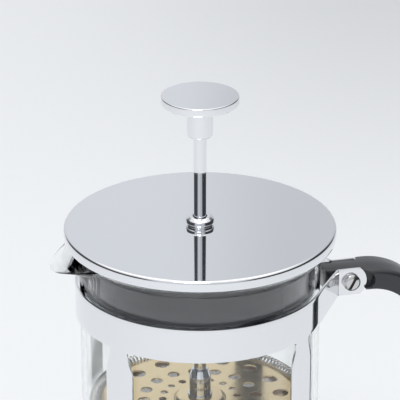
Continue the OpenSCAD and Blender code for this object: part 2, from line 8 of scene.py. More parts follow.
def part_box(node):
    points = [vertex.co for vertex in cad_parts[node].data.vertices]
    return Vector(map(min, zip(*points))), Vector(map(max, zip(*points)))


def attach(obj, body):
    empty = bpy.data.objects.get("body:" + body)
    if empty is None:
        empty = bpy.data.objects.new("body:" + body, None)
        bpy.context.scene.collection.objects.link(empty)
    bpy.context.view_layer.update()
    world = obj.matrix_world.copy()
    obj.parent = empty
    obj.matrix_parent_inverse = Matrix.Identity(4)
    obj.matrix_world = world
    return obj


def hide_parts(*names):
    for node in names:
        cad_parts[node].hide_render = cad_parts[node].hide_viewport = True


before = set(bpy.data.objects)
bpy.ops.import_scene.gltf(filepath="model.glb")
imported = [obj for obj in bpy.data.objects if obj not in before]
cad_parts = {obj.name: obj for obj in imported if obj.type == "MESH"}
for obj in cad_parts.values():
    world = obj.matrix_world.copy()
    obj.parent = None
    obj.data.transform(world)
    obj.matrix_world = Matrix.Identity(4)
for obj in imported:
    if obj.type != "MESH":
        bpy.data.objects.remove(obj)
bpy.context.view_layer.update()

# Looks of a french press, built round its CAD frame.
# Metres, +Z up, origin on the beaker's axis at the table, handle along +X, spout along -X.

TAU = 2 * math.pi
MM = 0.001

# ---- sizes read from the frame ----


def low(node):
    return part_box(node)[0]


def high(node):
    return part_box(node)[1]


LID_TOP = high("lid_cap").z
LID_R = high("lid_cap").x
GLASS_LOW = low("glass_beaker").z
RIM_TOP = high("glass_beaker").z
BEAD_OUT_R = high("glass_beaker").y
SPOUT_REACH = -low("glass_beaker").x
BAND_TOP = high("frame_cage").z
BAND_R = high("frame_cage").y
EAR_END = high("frame_cage").x
SCREW_X = (low("upper_clamp_screw").x + high("upper_clamp_screw").x) / 2
UPPER_SCREW_Z = (low("upper_clamp_screw").z + high("upper_clamp_screw").z) / 2
LOWER_SCREW_Z = (low("lower_clamp_screw").z + high("lower_clamp_screw").z) / 2
ROD_R = high("plunger_rod").x
PLATE_R = high("filter_plate").x
COIL_OUT_R = high("edge_coil").x
COIL_Z = (low("edge_coil").z + high("edge_coil").z) / 2
COIL_R = (high("edge_coil").z - low("edge_coil").z) / 2

# ---- sizes of the sheet and mouldings, as in the CAD ----

SHEET = 0.8 * MM
GLASS_R = 48 * MM
GLASS_WALL = 2 * MM
GLASS_BASE = 2.4 * MM
BAND_H = 13.9 * MM
HANDLE_W = 16 * MM
HANDLE_T = 9.4 * MM
EAR_H = 11.4 * MM
EAR_END_R = 7.3 * MM
EAR_FOLD_BACK = 5.6 * MM  # from the screw back to the fold at the ear's root
EAR_FOLD_X = SCREW_X - EAR_FOLD_BACK
SCREW_HEAD_H = 2.4 * MM
EAR_Y = -low("upper_clamp_screw").y - SCREW_HEAD_H - SHEET / 2
TONGUE_HALF = EAR_Y - SHEET / 2
EAR_ARC_X = EAR_END - SCREW_X - EAR_END_R
RECESS_SKIN = 0.4 * MM
RECESS_GAP = 2.8 * MM
POCKET_R = HANDLE_T / 2 - RECESS_SKIN
POCKET_X = EAR_ARC_X + EAR_END_R + RECESS_GAP - POCKET_R
SHOULDER_GAP = 0.25 * MM
ARM_RISE = 0.9 * MM
HANDLE_UPPER_R = 28.6 * MM
HANDLE_LOWER_R = 26 * MM
SCREW_SHANK_R = 2 * MM
LEG_W = 13.3 * MM
LEG_NECK_W = 8.6 * MM
LEG_TAPER_H = 10 * MM
LEG_FILLET = 1.0 * MM
LEG_BEND_R = 2.2 * MM
LEG_ANGLES = (50, 143.5, 216.5, 310)
FOOT_W = 12 * MM
FOOT_INNER_R = 11 * MM
CROSS_HUB_R = 15 * MM
BASE_RING_INNER_R = 30 * MM
RIM_GAP = 0.2 * MM
INSERT_WEB = 1.8 * MM
BUSH_R = 3.7 * MM
BUSH_FLANGE_H = 1.2 * MM
KNOB_SOCKET_H = 9 * MM
HUB_BODY_H = 9 * MM
HUB_FOOT_H = 1.2 * MM
ROD_TIP_R = 1.9 * MM
TIP_HOLE_R = 1.95 * MM
PLATE_T = 0.8 * MM
PLATE_BOSS_H = 1.2 * MM
PLATE_BOSS_R = 10.6 * MM
HOLE_RINGS = ((15.2 * MM, 1.52 * MM), (22.9 * MM, 2.45 * MM), (33.1 * MM, 3.15 * MM))
RING_TURN = 14.7  # degrees
RING_HOLES = 16
POUR_SLOTS = 9
POUR_SLOT_PITCH = math.radians(4.4)
POUR_SLOT_W = 2.4 * MM
POUR_SLOT_H = 14 * MM
SPOUT_HALF = math.radians(30)
SPOUT_H = 16 * MM
SPOUT_DROP = 5.9 * MM
SEAT_GAP = 0.02 * MM
FIT_GAP = 0.05 * MM

# ---- mesh helpers ----


def link(name, data):
    """A new object in the scene, made of a mesh, curve, lamp or camera."""
    made = bpy.data.objects.new(name, data)
    bpy.context.scene.collection.objects.link(made)
    return made


def smooth(mesh, angle=35):
    mesh.shade_smooth()
    mesh.set_sharp_from_angle(angle=math.radians(angle))


def solid(name, verts, faces, angle=35, merge=1e-7):
    """A smooth-shaded mesh piece with its normals facing out."""
    mesh = bpy.data.meshes.new(name)
    mesh.from_pydata([tuple(v) for v in verts], [], faces)
    bm = bmesh.new()
    bm.from_mesh(mesh)
    bmesh.ops.remove_doubles(bm, verts=bm.verts, dist=merge)
    bmesh.ops.dissolve_degenerate(bm, edges=bm.edges, dist=merge)
    bmesh.ops.recalc_face_normals(bm, faces=bm.faces)
    bm.to_mesh(mesh)
    bm.free()
    smooth(mesh, angle)
    return link(name, mesh)


def grid_faces(rows, cols, close_rows=False, close_cols=False):
    """Quads of a rows x cols grid of vertices, numbered row by row."""
    faces = []
    for i in range(rows if close_rows else rows - 1):
        for j in range(cols if close_cols else cols - 1):
            i2, j2 = (i + 1) % rows, (j + 1) % cols
            faces.append((i * cols + j, i * cols + j2, i2 * cols + j2, i2 * cols + j))
    return faces


def caps(first, last, count):
    """End faces of a swept outline, whose end rings start at the vertices first and last."""
    return [[first + k for k in range(count)], [last + k for k in range(count)][::-1]]


def rounded(points, steps=6):
    """A closed outline of (x, y) or (x, y, radius) points, its corners with a radius turned to arcs."""
    out = []
    count = len(points)
    for i, point in enumerate(points):
        corner = Vector(point[:2])
        radius = point[2] if len(point) > 2 else 0
        if radius <= 0:
            out.append(corner)
            continue
        to_last = (Vector(points[i - 1][:2]) - corner).normalized()
        to_next = (Vector(points[(i + 1) % count][:2]) - corner).normalized()
        half = to_last.angle(to_next) / 2
        start = corner + to_last * (radius / math.tan(half))
        end = corner + to_next * (radius / math.tan(half))
        centre = corner + (to_last + to_next).normalized() * (radius / math.sin(half))
        first = math.atan2(start.y - centre.y, start.x - centre.x)
        turn = math.atan2(end.y - centre.y, end.x - centre.x) - first
        turn = (turn + math.pi) % TAU - math.pi
        for k in range(steps + 1):
            a = first + turn * k / steps
            out.append(centre + Vector((math.cos(a), math.sin(a))) * radius)
    return out


def lathe(name, points, segments=192, angle=35, steps=6):
    """A solid of revolution about Z of a closed outline of (r, z[, corner radius]) points."""
    outline = rounded(points, steps)
    verts = []
    for k in range(segments):
        a = TAU * k / segments
        verts += [(p.x * math.cos(a), p.x * math.sin(a), p.y) for p in outline]
    faces = grid_faces(segments, len(outline), close_rows=True, close_cols=True)
    return solid(name, verts, faces, angle)


def evaluated_copy(piece):
    """Applies a piece's modifiers to its mesh."""
    graph = bpy.context.evaluated_depsgraph_get()
    mesh = bpy.data.meshes.new_from_object(piece.evaluated_get(graph))
    old = piece.data
    piece.modifiers.clear()
    piece.data = mesh
    bpy.data.meshes.remove(old)
    return piece


def modify(piece, kind, **settings):
    modifier = piece.modifiers.new(kind.lower(), kind)
    for key, value in settings.items():
        setattr(modifier, key, value)
    return modifier


def cut(piece, cutter, angle=35):
    """Takes the cutter away from a piece, and removes the cutter. Cut faces take the cutter's material."""
    modify(piece, "BOOLEAN", operation="DIFFERENCE", object=cutter, solver="EXACT",
           material_mode="TRANSFER")
    evaluated_copy(piece)
    bpy.data.objects.remove(cutter)
    smooth(piece.data, angle)
    return piece


def soften(piece, width, segments=2, limit=40, angle=35):
    """Rounds a piece's sharp edges by a small width."""
    modify(piece, "BEVEL", width=width, segments=segments, limit_method="ANGLE",
           angle_limit=math.radians(limit), harden_normals=False)
    evaluated_copy(piece)
    smooth(piece.data, angle)
    return piece


def move(piece, matrix):
    piece.data.transform(matrix)


def place(piece, body, slot, material, *nodes):
    """Sends a piece to its body and its material, and hides the CAD nodes that it stands for. The slot is
    not used.
    """
    if piece.data.materials:
        piece.data.materials[0] = material
    else:
        piece.data.materials.append(material)
    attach(piece, body)
    if nodes:
        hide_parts(*nodes)
    return piece


# ---- materials ----

NOISE_LOW, NOISE_HIGH = 0.3, 0.7  # where most of a noise texture's values lie


def new_material(name):
    material = bpy.data.materials.new(name)
    material.use_nodes = True
    tree = material.node_tree
    return material, tree, tree.nodes["Principled BSDF"]


def node(tree, kind, **inputs):
    made = tree.nodes.new(kind)
    for key, value in inputs.items():
        made.inputs[key.replace("_", " ")].default_value = value
    return made


def stretched(tree, scale):
    """Object coordinates scaled along each axis."""
    where = tree.nodes.new("ShaderNodeTexCoord")
    mapping = tree.nodes.new("ShaderNodeMapping")
    mapping.inputs["Scale"].default_value = scale
    tree.links.new(where.outputs["Object"], mapping.inputs["Vector"])
    return mapping.outputs["Vector"]


def noise(tree, vector, scale, detail=3.0):
    texture = node(tree, "ShaderNodeTexNoise", Scale=scale, Detail=detail)
    tree.links.new(vector, texture.inputs["Vector"])
    return texture.outputs["Fac"]


def ranged(tree, value, low_value, high_value):
    """A noise value spread over another range."""
    mapper = tree.nodes.new("ShaderNodeMapRange")
    mapper.inputs["From Min"].default_value = NOISE_LOW
    mapper.inputs["From Max"].default_value = NOISE_HIGH
    mapper.inputs["To Min"].default_value = low_value
    mapper.inputs["To Max"].default_value = high_value
    tree.links.new(value, mapper.inputs["Value"])
    return mapper.outputs["Result"]


def bump(tree, shader, height, strength, distance):
    made = node(tree, "ShaderNodeBump", Strength=strength, Distance=distance)
    tree.links.new(height, made.inputs["Height"])
    tree.links.new(made.outputs["Normal"], shader.inputs["Normal"])


def metal(name, colour, rough, grain, ripple, strength=0.1, distance=2e-5):
    """Steel whose roughness varies with a stretched grain, and whose surface ripples slightly."""
    material, tree, shader = new_material(name)
    shader.inputs["Metallic"].default_value = 1
    shader.inputs["Base Color"].default_value = (*colour, 1)
    streaks = noise(tree, stretched(tree, grain), 1.0, 4)
    tree.links.new(ranged(tree, streaks, *rough), shader.inputs["Roughness"])
    bump(tree, shader, noise(tree, stretched(tree, ripple), 1.0, 2), strength, distance)
    return material


def plastic(name, colour, rough, grain, strength, distance, coat=0.0):
    material, tree, shader = new_material(name)
    shader.inputs["Base Color"].default_value = (*colour, 1)
    shader.inputs["IOR"].default_value = 1.5
    shader.inputs["Coat Weight"].default_value = coat
    shader.inputs["Coat Roughness"].default_value = 0.08
    patches = noise(tree, stretched(tree, (120, 120, 120)), 1.0, 3)
    tree.links.new(ranged(tree, patches, *rough), shader.inputs["Roughness"])
    bump(tree, shader, noise(tree, stretched(tree, (grain,) * 3), 1.0, 2), strength, distance)
    return material


def clear_glass(name):
    """Glass that bends what is behind it, and lets lamps through to what it holds."""
    material, tree, shader = new_material(name)
    shader.inputs["Base Color"].default_value = (0.985, 0.995, 0.992, 1)
    shader.inputs["Roughness"].default_value = 0.0
    shader.inputs["IOR"].default_value = 1.47
    shader.inputs["Transmission Weight"].default_value = 1.0
    bump(tree, shader, noise(tree, stretched(tree, (30, 30, 12)), 1.0, 0), 0.006, 2e-5)
    path = tree.nodes.new("ShaderNodeLightPath")
    clear = tree.nodes.new("ShaderNodeBsdfTransparent")
    clear.inputs["Color"].default_value = (0.95, 0.97, 0.96, 1)
    mix = tree.nodes.new("ShaderNodeMixShader")
    output = tree.nodes["Material Output"]
    tree.links.new(path.outputs["Is Shadow Ray"], mix.inputs["Fac"])
    tree.links.new(shader.outputs["BSDF"], mix.inputs[1])
    tree.links.new(clear.outputs["BSDF"], mix.inputs[2])
    tree.links.new(mix.outputs["Shader"], output.inputs["Surface"])
    return material


MIRROR = metal("mirror_steel", (0.78, 0.79, 0.81), (0.02, 0.06), (900, 900, 900), (60, 60, 60))
BRIGHT_SHEET = metal("bright_sheet", (0.78, 0.785, 0.80), (0.04, 0.10), (500, 500, 60), (110, 110, 16),
                     0.25, 8e-5)
TURNED = metal("turned_steel", (0.60, 0.60, 0.60), (0.10, 0.22), (1200, 1200, 1200), (90, 90, 90))
# Painted shade: a darker, rougher copy of the screw steel for the slots' faces, so that the slots look
# shaded.
SLOT_PAINTED_SHADE = metal("slot_painted_shade", (0.16, 0.155, 0.15), (0.35, 0.5), (1200, 1200, 1200), (90, 90, 90))
FILTER_SHEET = metal("filter_sheet", (0.87, 0.70, 0.43), (0.16, 0.26), (260, 260, 260), (30, 30, 30),
                     0.02, 1e-5)
WIRE = metal("drawn_wire", (0.80, 0.79, 0.76), (0.08, 0.16), (900, 900, 900), (200, 200, 200))
WOVEN = metal("woven_wire", (0.46, 0.34, 0.24), (0.25, 0.40), (900, 900, 900), (200, 200, 200))
BLACK_GLOSS = plastic("lid_plastic", (0.026, 0.027, 0.034), (0.10, 0.20), 900, 0.05, 2e-5, 0.3)
BLACK_SATIN = plastic("handle_plastic", (0.027, 0.028, 0.032), (0.19, 0.27), 2600, 0.10, 2e-5)
GLASS = clear_glass("beaker_glass")

# ---- lid ----


def lid_cap():
    top, r, edge = LID_TOP, LID_R, 1.3 * MM
    bottom = low("lid_cap").z
    outline = [
        (BUSH_R, top), (r, top, edge), (r, bottom, 0.35 * MM),
        (r - SHEET, bottom, 0.35 * MM), (r - SHEET, top - SHEET, edge - SHEET / 2),
        (BUSH_R, top - SHEET),
    ]
    place(lathe("lid_cap_shell", outline, 360, steps=8), "lid", "polished_steel", MIRROR, "lid_cap")


def lid_insert():
    bottom = low("lid_insert").z
    top = high("lid_insert").z
    flange_r = high("lid_insert").x
    flange_low = RIM_TOP + RIM_GAP
    collar_r = GLASS_R - GLASS_WALL - 0.5 * MM
    inner = collar_r - 1.6 * MM
    lip = 0.25 * MM
    small = 0.3 * MM
    bore = BUSH_R + FIT_GAP
    outline = [
        (bore, top), (flange_r, top, small), (flange_r, flange_low, 0.6 * MM),
        (collar_r, flange_low, 0.5 * MM), (collar_r, bottom + 2.2 * MM, small),
        (collar_r + lip, bottom + 1.8 * MM, 0.2 * MM), (collar_r + lip, bottom, 0.4 * MM),
        (inner, bottom, small), (inner, top - INSERT_WEB, 1 * MM), (bore, top - INSERT_WEB),
    ]
    insert = lathe("lid_insert_moulding", outline, 288, steps=5)
    width, height = POUR_SLOT_W, POUR_SLOT_H
    verts, faces = [], []
    for i in range(POUR_SLOTS):
        a = math.pi + (i - (POUR_SLOTS - 1) / 2) * POUR_SLOT_PITCH
        turn = Matrix.Rotation(a, 4, "Z")
        outline = rounded([
            (-width / 2, 0, width * 0.45), (width / 2, 0, width * 0.45),
            (width / 2, height, width * 0.45), (-width / 2, height, width * 0.45),
        ], 5)
        base = len(verts)
        for x in (inner - 1 * MM, collar_r + 1 * MM):
            for p in outline:
                verts.append(turn @ Vector((x, p.x, flange_low - 1 * MM - height + p.y)))
        n = len(outline)
        faces += [[base + f for f in face] for face in grid_faces(2, n, close_cols=True)]
        faces += caps(base, base + n, n)
    cut(insert, solid("slot_cutter", verts, faces))
    place(insert, "lid", "lid_plastic", BLACK_GLOSS, "lid_insert")


def guide_parts():
    lo, hi = low("guide_nut"), high("guide_nut")
    r, z0, z1 = hi.x, lo.z, hi.z
    hole = ROD_R + 0.3 * MM
    outline = [
        (hole, z0), (r - 0.5 * MM, z0, 0.2 * MM), (r - 0.5 * MM, z0 + 0.9 * MM, 0.2 * MM),
        (r, z0 + 1.2 * MM, 0.4 * MM), (r, z0 + 2.6 * MM, 0.8 * MM),
        (r - 1.5 * MM, z1, 0.9 * MM), (hole, z1, 0.3 * MM),
    ]
    place(lathe("guide_nut_dome", outline, 128), "lid_core", "polished_steel", MIRROR, "guide_nut")
    lo, hi = low("guide_bush"), high("guide_bush")
    flange_z = LID_TOP - SHEET - INSERT_WEB - BUSH_FLANGE_H - SEAT_GAP
    bore = ROD_R + FIT_GAP
    outline = [
        (bore, lo.z, 0.2 * MM), (BUSH_R, lo.z, 0.3 * MM), (BUSH_R, flange_z), (hi.x, flange_z, 0.3 * MM),
        (hi.x, flange_z + BUSH_FLANGE_H), (BUSH_R, flange_z + BUSH_FLANGE_H), (BUSH_R, hi.z), (bore, hi.z),
    ]
    place(lathe("guide_bush_sleeve", outline, 96), "lid_core", "polished_steel", MIRROR, "guide_bush")


# ---- plunger ----


def rod():
    lo, hi = low("plunger_rod"), high("plunger_rod")
    shoulder = low("filter_hub").z + SEAT_GAP
    outline = [
        (0, lo.z), (ROD_TIP_R, lo.z, 0.3 * MM), (ROD_TIP_R, shoulder), (ROD_R, shoulder, 0.1 * MM),
        (ROD_R, hi.z), (0, hi.z),
    ]
    place(lathe("plunger_rod_bar", outline, 96), "rod", "polished_steel", MIRROR, "plunger_rod")


def knob():
    lo, hi = low("knob_hub"), high("knob_hub")
    r = hi.x
    bore = ROD_R + FIT_GAP
    seat = lo.z + KNOB_SOCKET_H + SEAT_GAP
    outline = [
        (bore, lo.z, 0.2 * MM), (r, lo.z, 0.5 * MM), (r, hi.z - 0.8 * MM), (r - 0.4 * MM, hi.z - 0.6 * MM),
        (r - 0.4 * MM, hi.z), (0, hi.z), (0, seat), (bore, seat),
    ]
    place(lathe("knob_hub_turned", outline, 128), "plunger", "polished_steel", MIRROR, "knob_hub")
    lo, hi = low("knob_disc"), high("knob_disc")
    r = hi.x
    outline = [
        (0, lo.z), (r, lo.z, 0.7 * MM), (r, hi.z, 0.5 * MM), (0, hi.z),
    ]
    place(lathe("knob_disc_turned", outline, 256, steps=8), "plunger", "polished_steel", MIRROR, "knob_disc")


def filter_hub():
    lo, hi = low("filter_hub"), high("filter_hub")
    foot, body = hi.x, hi.x - 0.6 * MM
    top = lo.z + HUB_BODY_H
    bore = ROD_R + FIT_GAP
    outline = [
        (bore, lo.z), (foot, lo.z, 0.2 * MM), (foot, lo.z + HUB_FOOT_H, 0.3 * MM), (body, lo.z + HUB_FOOT_H),
        (body, top, 0.4 * MM), (ROD_R + 0.8 * MM, hi.z, 0.3 * MM), (bore, hi.z),
    ]
    place(lathe("filter_hub_turned", outline, 96), "plunger", "polished_steel", MIRROR, "filter_hub")


def curve_plate(name, outer_r, holes, z, thickness, edge):
    """A flat round plate with round holes, as (x, y, r), its edges slightly rounded."""
    curve = bpy.data.curves.new(name, "CURVE")
    curve.dimensions = "2D"
    curve.fill_mode = "BOTH"
    curve.extrude = thickness / 2 - edge
    curve.bevel_depth = edge
    curve.bevel_resolution = 1
    for x, y, r in [(0, 0, outer_r - edge)] + [(x, y, r + edge) for x, y, r in holes]:
        steps = 240 if (x, y) == (0, 0) else 40
        spline = curve.splines.new("POLY")
        spline.points.add(steps - 1)
        for k in range(steps):
            a = TAU * k / steps
            spline.points[k].co = (x + r * math.cos(a), y + r * math.sin(a), 0, 1)
        spline.use_cyclic_u = True
    holder = link(name, curve)
    graph = bpy.context.evaluated_depsgraph_get()
    mesh = bpy.data.meshes.new_from_object(holder.evaluated_get(graph))
    bpy.data.objects.remove(holder)
    bm = bmesh.new()
    bm.from_mesh(mesh)
    bmesh.ops.remove_doubles(bm, verts=bm.verts, dist=1e-7)
    bmesh.ops.recalc_face_normals(bm, faces=bm.faces)
    bm.to_mesh(mesh)
    bm.free()
    mesh.transform(Matrix.Translation((0, 0, z)))
    smooth(mesh, 12)
    return link(name, mesh)


def filter_plate():
    plate_low = low("filter_plate").z
    holes = []
    for radius, hole_r in HOLE_RINGS:
        for k in range(RING_HOLES):
            a = math.radians(RING_TURN) + TAU * k / RING_HOLES
            holes.append((radius * math.cos(a), radius * math.sin(a), hole_r))
    boss_hole = PLATE_BOSS_R - 0.3 * MM
    flat = curve_plate("filter_plate_sheet", PLATE_R, holes + [(1e-9, 0, boss_hole)],
                       plate_low + PLATE_T / 2, PLATE_T, 0.08 * MM)
    place(flat, "plunger", "filter_steel", FILTER_SHEET, "filter_plate")
    outline = [
        (TIP_HOLE_R, plate_low + PLATE_BOSS_H), (8.4 * MM, plate_low + PLATE_BOSS_H, 0.6 * MM),
        (10.2 * MM, plate_low, 0.6 * MM),
        (boss_hole + 0.3 * MM, plate_low), (boss_hole + 0.3 * MM, plate_low + PLATE_T),
        (10.2 * MM, plate_low + PLATE_T, 0.25 * MM),
        (9.3 * MM, plate_low + PLATE_T + PLATE_BOSS_H, 0.5 * MM),
        (TIP_HOLE_R, plate_low + PLATE_T + PLATE_BOSS_H),
    ]
    place(lathe("filter_plate_boss", outline, 128), "plunger", "filter_steel", FILTER_SHEET, "filter_plate")


def edge_coil():
    wire_r, turns, per_turn, sides = 0.42 * MM, 150, 16, 6
    ring_r = COIL_OUT_R - COIL_R
    minor = COIL_R - wire_r
    verts = []
    total = turns * per_turn
    for k in range(total):
        a = TAU * k / total
        b = TAU * k / per_turn
        out = Vector((math.cos(a), math.sin(a), 0))
        spoke = out * math.cos(b) + Vector((0, 0, math.sin(b)))
        along = Vector((-math.sin(a), math.cos(a), 0))
        centre = out * ring_r + Vector((0, 0, COIL_Z)) + spoke * minor
        run = along * ring_r / turns + (out * -math.sin(b) + Vector((0, 0, math.cos(b)))) * minor
        side = run.normalized().cross(spoke)
        for s in range(sides):
            c = TAU * s / sides
            verts.append(centre + (spoke * math.cos(c) + side * math.sin(c)) * wire_r)
    faces = grid_faces(total, sides, close_rows=True, close_cols=True)
    place(solid("edge_coil_wound", verts, faces, 80), "plunger", "coil_wire", WIRE, "edge_coil")


def woven_screen():
    """Crossed wires that pass over and under each other, dished round the plate's edge."""
    pitch, wire_r, sides = 0.9 * MM, 0.14 * MM, 4
    r_out = high("mesh_screen").x - 0.4 * MM
    z_low = low("mesh_screen").z + 0.15 * MM
    z_high = high("mesh_screen").z - 0.15 * MM
    dish_in, dish_out = 33.5 * MM, 39 * MM

    def sheet_z(x, y):
        t = min(1, max(0, (math.hypot(x, y) - dish_in) / (dish_out - dish_in)))
        return z_high + (z_low - z_high) * t

    verts, faces = [], []
    lines = int(r_out / pitch)
    hole = 2.2 * MM
    for flip in (False, True):
        for i in range(-lines, lines + 1):
            across = (i + 0.5) * pitch
            if abs(across) >= r_out:
                continue
            half = math.sqrt(r_out ** 2 - across ** 2)
            runs = [(-half, half)]
            if abs(across) < hole:
                gap = math.sqrt(hole ** 2 - across ** 2)
                runs = [(-half, -gap), (gap, half)]
            for start, end in runs:
                steps = max(2, int((end - start) / pitch))
                base = len(verts)
                for k in range(steps + 1):
                    u = start + (end - start) * k / steps
                    weave = wire_r * 0.9 * (1 if (round(u / pitch - 0.5) + i + flip) % 2 else -1)
                    x, y = (across, u) if flip else (u, across)
                    z = sheet_z(x, y) + weave * 0.8
                    for s in range(sides):
                        c = TAU * s / sides
                        side = wire_r * math.cos(c)
                        px, py = (x + side, y) if flip else (x, y + side)
                        verts.append((px, py, z + wire_r * math.sin(c)))
                faces += [[base + f for f in face] for face in grid_faces(steps + 1, sides, close_cols=True)]
                last = base + steps * sides
                faces += caps(base, last, sides)
    place(solid("mesh_screen_weave", verts, faces, 80), "plunger", "woven_screen", WOVEN, "mesh_screen")


# ---- frame ----


def strap_start(r):
    """Angle at which a strap leaves a band of middle radius r for its ear."""
    fold = Vector((EAR_FOLD_X, EAR_Y))
    return math.atan2(fold.y, fold.x) + math.acos(r / fold.length)


def half_plan(r, low_z, high_z, ear_mid):
    """Stations (x, y, z_low, z_high) from the +Y strap's root to the ear's end."""
    a = strap_start(r)
    root = Vector((r * math.cos(a), r * math.sin(a)))
    fold = Vector((EAR_FOLD_X, EAR_Y))
    run = (fold - root).normalized()
    bend = 0.9 * MM
    taper_from = 12 * MM
    stations = []

    def edges(x):
        t = min(1, max(0, (x - (EAR_FOLD_X - taper_from)) / taper_from))
        return (low_z + (ear_mid - EAR_H / 2 - low_z) * t, high_z + (ear_mid + EAR_H / 2 - high_z) * t)

    length = (fold - root).length - bend
    for k in range(1, 13):
        p = root + run * (length * k / 12)
        stations.append((p.x, p.y, *edges(p.x)))
    for k in range(1, 5):
        t = k / 5
        p = (fold - run * bend) * (1 - t) ** 2 + fold * 2 * t * (1 - t) + (fold + Vector((bend, 0))) * t ** 2
        stations.append((p.x, p.y, *edges(p.x)))
    round_x = EAR_END - EAR_END_R
    arc_from = round_x + math.sqrt(EAR_END_R ** 2 - (EAR_H / 2) ** 2)
    for k in range(1, 5):
        x = EAR_FOLD_X + bend + (arc_from - EAR_FOLD_X - bend) * k / 4
        stations.append((x, EAR_Y, ear_mid - EAR_H / 2, ear_mid + EAR_H / 2))
    first = math.acos((arc_from - round_x) / EAR_END_R)
    for k in range(1, 12):
        c = first * (1 - k / 11.5)
        half = EAR_END_R * math.sin(c)
        stations.append((round_x + EAR_END_R * math.cos(c), EAR_Y, ear_mid - half, ear_mid + half))
    return stations


def leg_half_width(depth):
    """Half width of a leg at a depth below the band: a small fillet, a neck, then its full width."""
    fillet = 0
    if depth < LEG_FILLET:
        fillet = LEG_FILLET - math.sqrt(LEG_FILLET ** 2 - (LEG_FILLET - depth) ** 2)
    t = min(1, max(0, (depth - LEG_FILLET) / LEG_TAPER_H))
    return LEG_NECK_W / 2 + fillet + (LEG_W - LEG_NECK_W) / 4 * (1 - math.cos(math.pi * t))


def sheet_band(name, r, low_z, high_z, ear_mid, legs=()):
    """A band with its straps, ears and legs, as one rolled and folded sheet."""
    side = half_plan(r, low_z, high_z, ear_mid)
    start = strap_start(r)
    angles = []
    leg_cols = 12
    root_half = leg_half_width(0) / r
    fixed = [start]
    leg_spans = []
    for angle in legs:
        centre = math.radians(angle)
        fixed += [centre - root_half, centre + root_half]
        leg_spans.append((centre, centre - root_half, centre + root_half))
    fixed.append(TAU - start)
    for i, (a, b) in enumerate(zip(fixed, fixed[1:])):
        is_leg = i % 2 == 1 and legs
        steps = leg_cols if is_leg else max(4, int((b - a) / math.radians(1.2)))
        angles += [a + (b - a) * k / steps for k in range(steps)]
    angles.append(fixed[-1])
    stations = [(x, y, zl, zh) for x, y, zl, zh in reversed(side)]
    first_col = len(stations)
    stations += [(r * math.cos(a), r * math.sin(a), low_z, high_z) for a in angles]
    stations += [(x, -y, zl, zh) for x, y, zl, zh in side]
    rows = 10
    verts, faces = [], []
    for x, y, zl, zh in stations:
        verts += [(x, y, zl + (zh - zl) * k / rows) for k in range(rows + 1)]
    faces += grid_faces(len(stations), rows + 1)
    for centre, a, b in leg_spans:
        col = first_col + min(range(len(angles)), key=lambda k: abs(angles[k] - a))
        depths = [LEG_FILLET * (1 - math.cos(math.pi / 2 * k / 5)) for k in range(1, 6)]
        depths += [LEG_FILLET + LEG_TAPER_H * k / 14 for k in range(1, 15)]
        straight = low_z - SHEET / 2 - LEG_BEND_R - 0.02 * MM
        depths += [depths[-1] + (straight - depths[-1]) * k / 16 for k in range(1, 17)]
        path = [(r, low_z - d, leg_half_width(d)) for d in depths]
        for k in range(1, 7):
            c = math.pi / 2 * k / 6
            width = LEG_W / 2 + (FOOT_W - LEG_W) / 2 * k / 6
            path.append((r - LEG_BEND_R * (1 - math.cos(c)),
                         low_z - straight - LEG_BEND_R * math.sin(c), width))
        flat_z = path[-1][1]
        for k in range(1, 9):
            path.append((r - LEG_BEND_R - (r - LEG_BEND_R - FOOT_INNER_R) * k / 8, flat_z, FOOT_W / 2))
        above = [(col + j) * (rows + 1) for j in range(leg_cols + 1)]
        for radius, z, half in path:
            here = []
            for j in range(leg_cols + 1):
                t = 2 * j / leg_cols - 1
                if radius > r - 1e-9:
                    angle = centre + t * half / r
                    point = (r * math.cos(angle), r * math.sin(angle), z)
                else:
                    out = Vector((math.cos(centre), math.sin(centre), 0))
                    across = Vector((-math.sin(centre), math.cos(centre), 0))
                    sag = r - math.sqrt(r * r - (t * half) ** 2)
                    keep = max(0, 1 - (r - radius) / (6 * MM))
                    point = out * (radius - sag * keep) + across * t * half + Vector((0, 0, z))
                here.append(len(verts))
                verts.append(tuple(point))
            for j in range(leg_cols):
                faces.append((above[j], above[j + 1], here[j + 1], here[j]))
            above = here
    piece = solid(name, verts, faces)
    modify(piece, "SOLIDIFY", thickness=SHEET, offset=0, use_even_offset=True)
    evaluated_copy(piece)
    soften(piece, 0.14 * MM, 2, 50, 40)
    bore = lathe("ear_cutter", [(0, -0.1), (2.2 * MM, -0.1), (2.2 * MM, 0.1), (0, 0.1)], 48)
    move(bore, Matrix.Translation((SCREW_X, 0, ear_mid)) @ Matrix.Rotation(math.pi / 2, 4, "X"))
    return cut(piece, bore, 40)


def frame_sheets():
    mid = BAND_R - SHEET / 2
    cage = sheet_band("frame_cage_sheet", mid, BAND_TOP - BAND_H, BAND_TOP, UPPER_SCREW_Z, LEG_ANGLES)
    place(cage, "frame", "sheet_steel", BRIGHT_SHEET, "frame_cage")
    outline = [
        (0, 0), (CROSS_HUB_R, 0, 0.1 * MM), (CROSS_HUB_R, SHEET, 0.2 * MM), (0, SHEET),
    ]
    hub = lathe("frame_cage_cross", outline, 96)
    place(hub, "frame", "sheet_steel", BRIGHT_SHEET, "frame_cage")
    lo, hi = low("lower_band"), high("lower_band")
    ring = sheet_band("lower_band_sheet", hi.y - SHEET / 2, lo.z, hi.z, LOWER_SCREW_Z)
    place(ring, "frame", "sheet_steel", BRIGHT_SHEET, "lower_band")


def base_ring():
    lo, hi = low("base_ring"), high("base_ring")
    inner = BASE_RING_INNER_R
    outline = [
        (inner, lo.z), (inner + SHEET, lo.z), (inner + SHEET, hi.z - SHEET, 0.4 * MM),
        (hi.x, hi.z - SHEET, 0.2 * MM), (hi.x, hi.z, 0.3 * MM), (inner, hi.z, 0.8 * MM),
    ]
    place(lathe("base_ring_pressed", outline, 192), "frame", "sheet_steel", BRIGHT_SHEET, "base_ring")


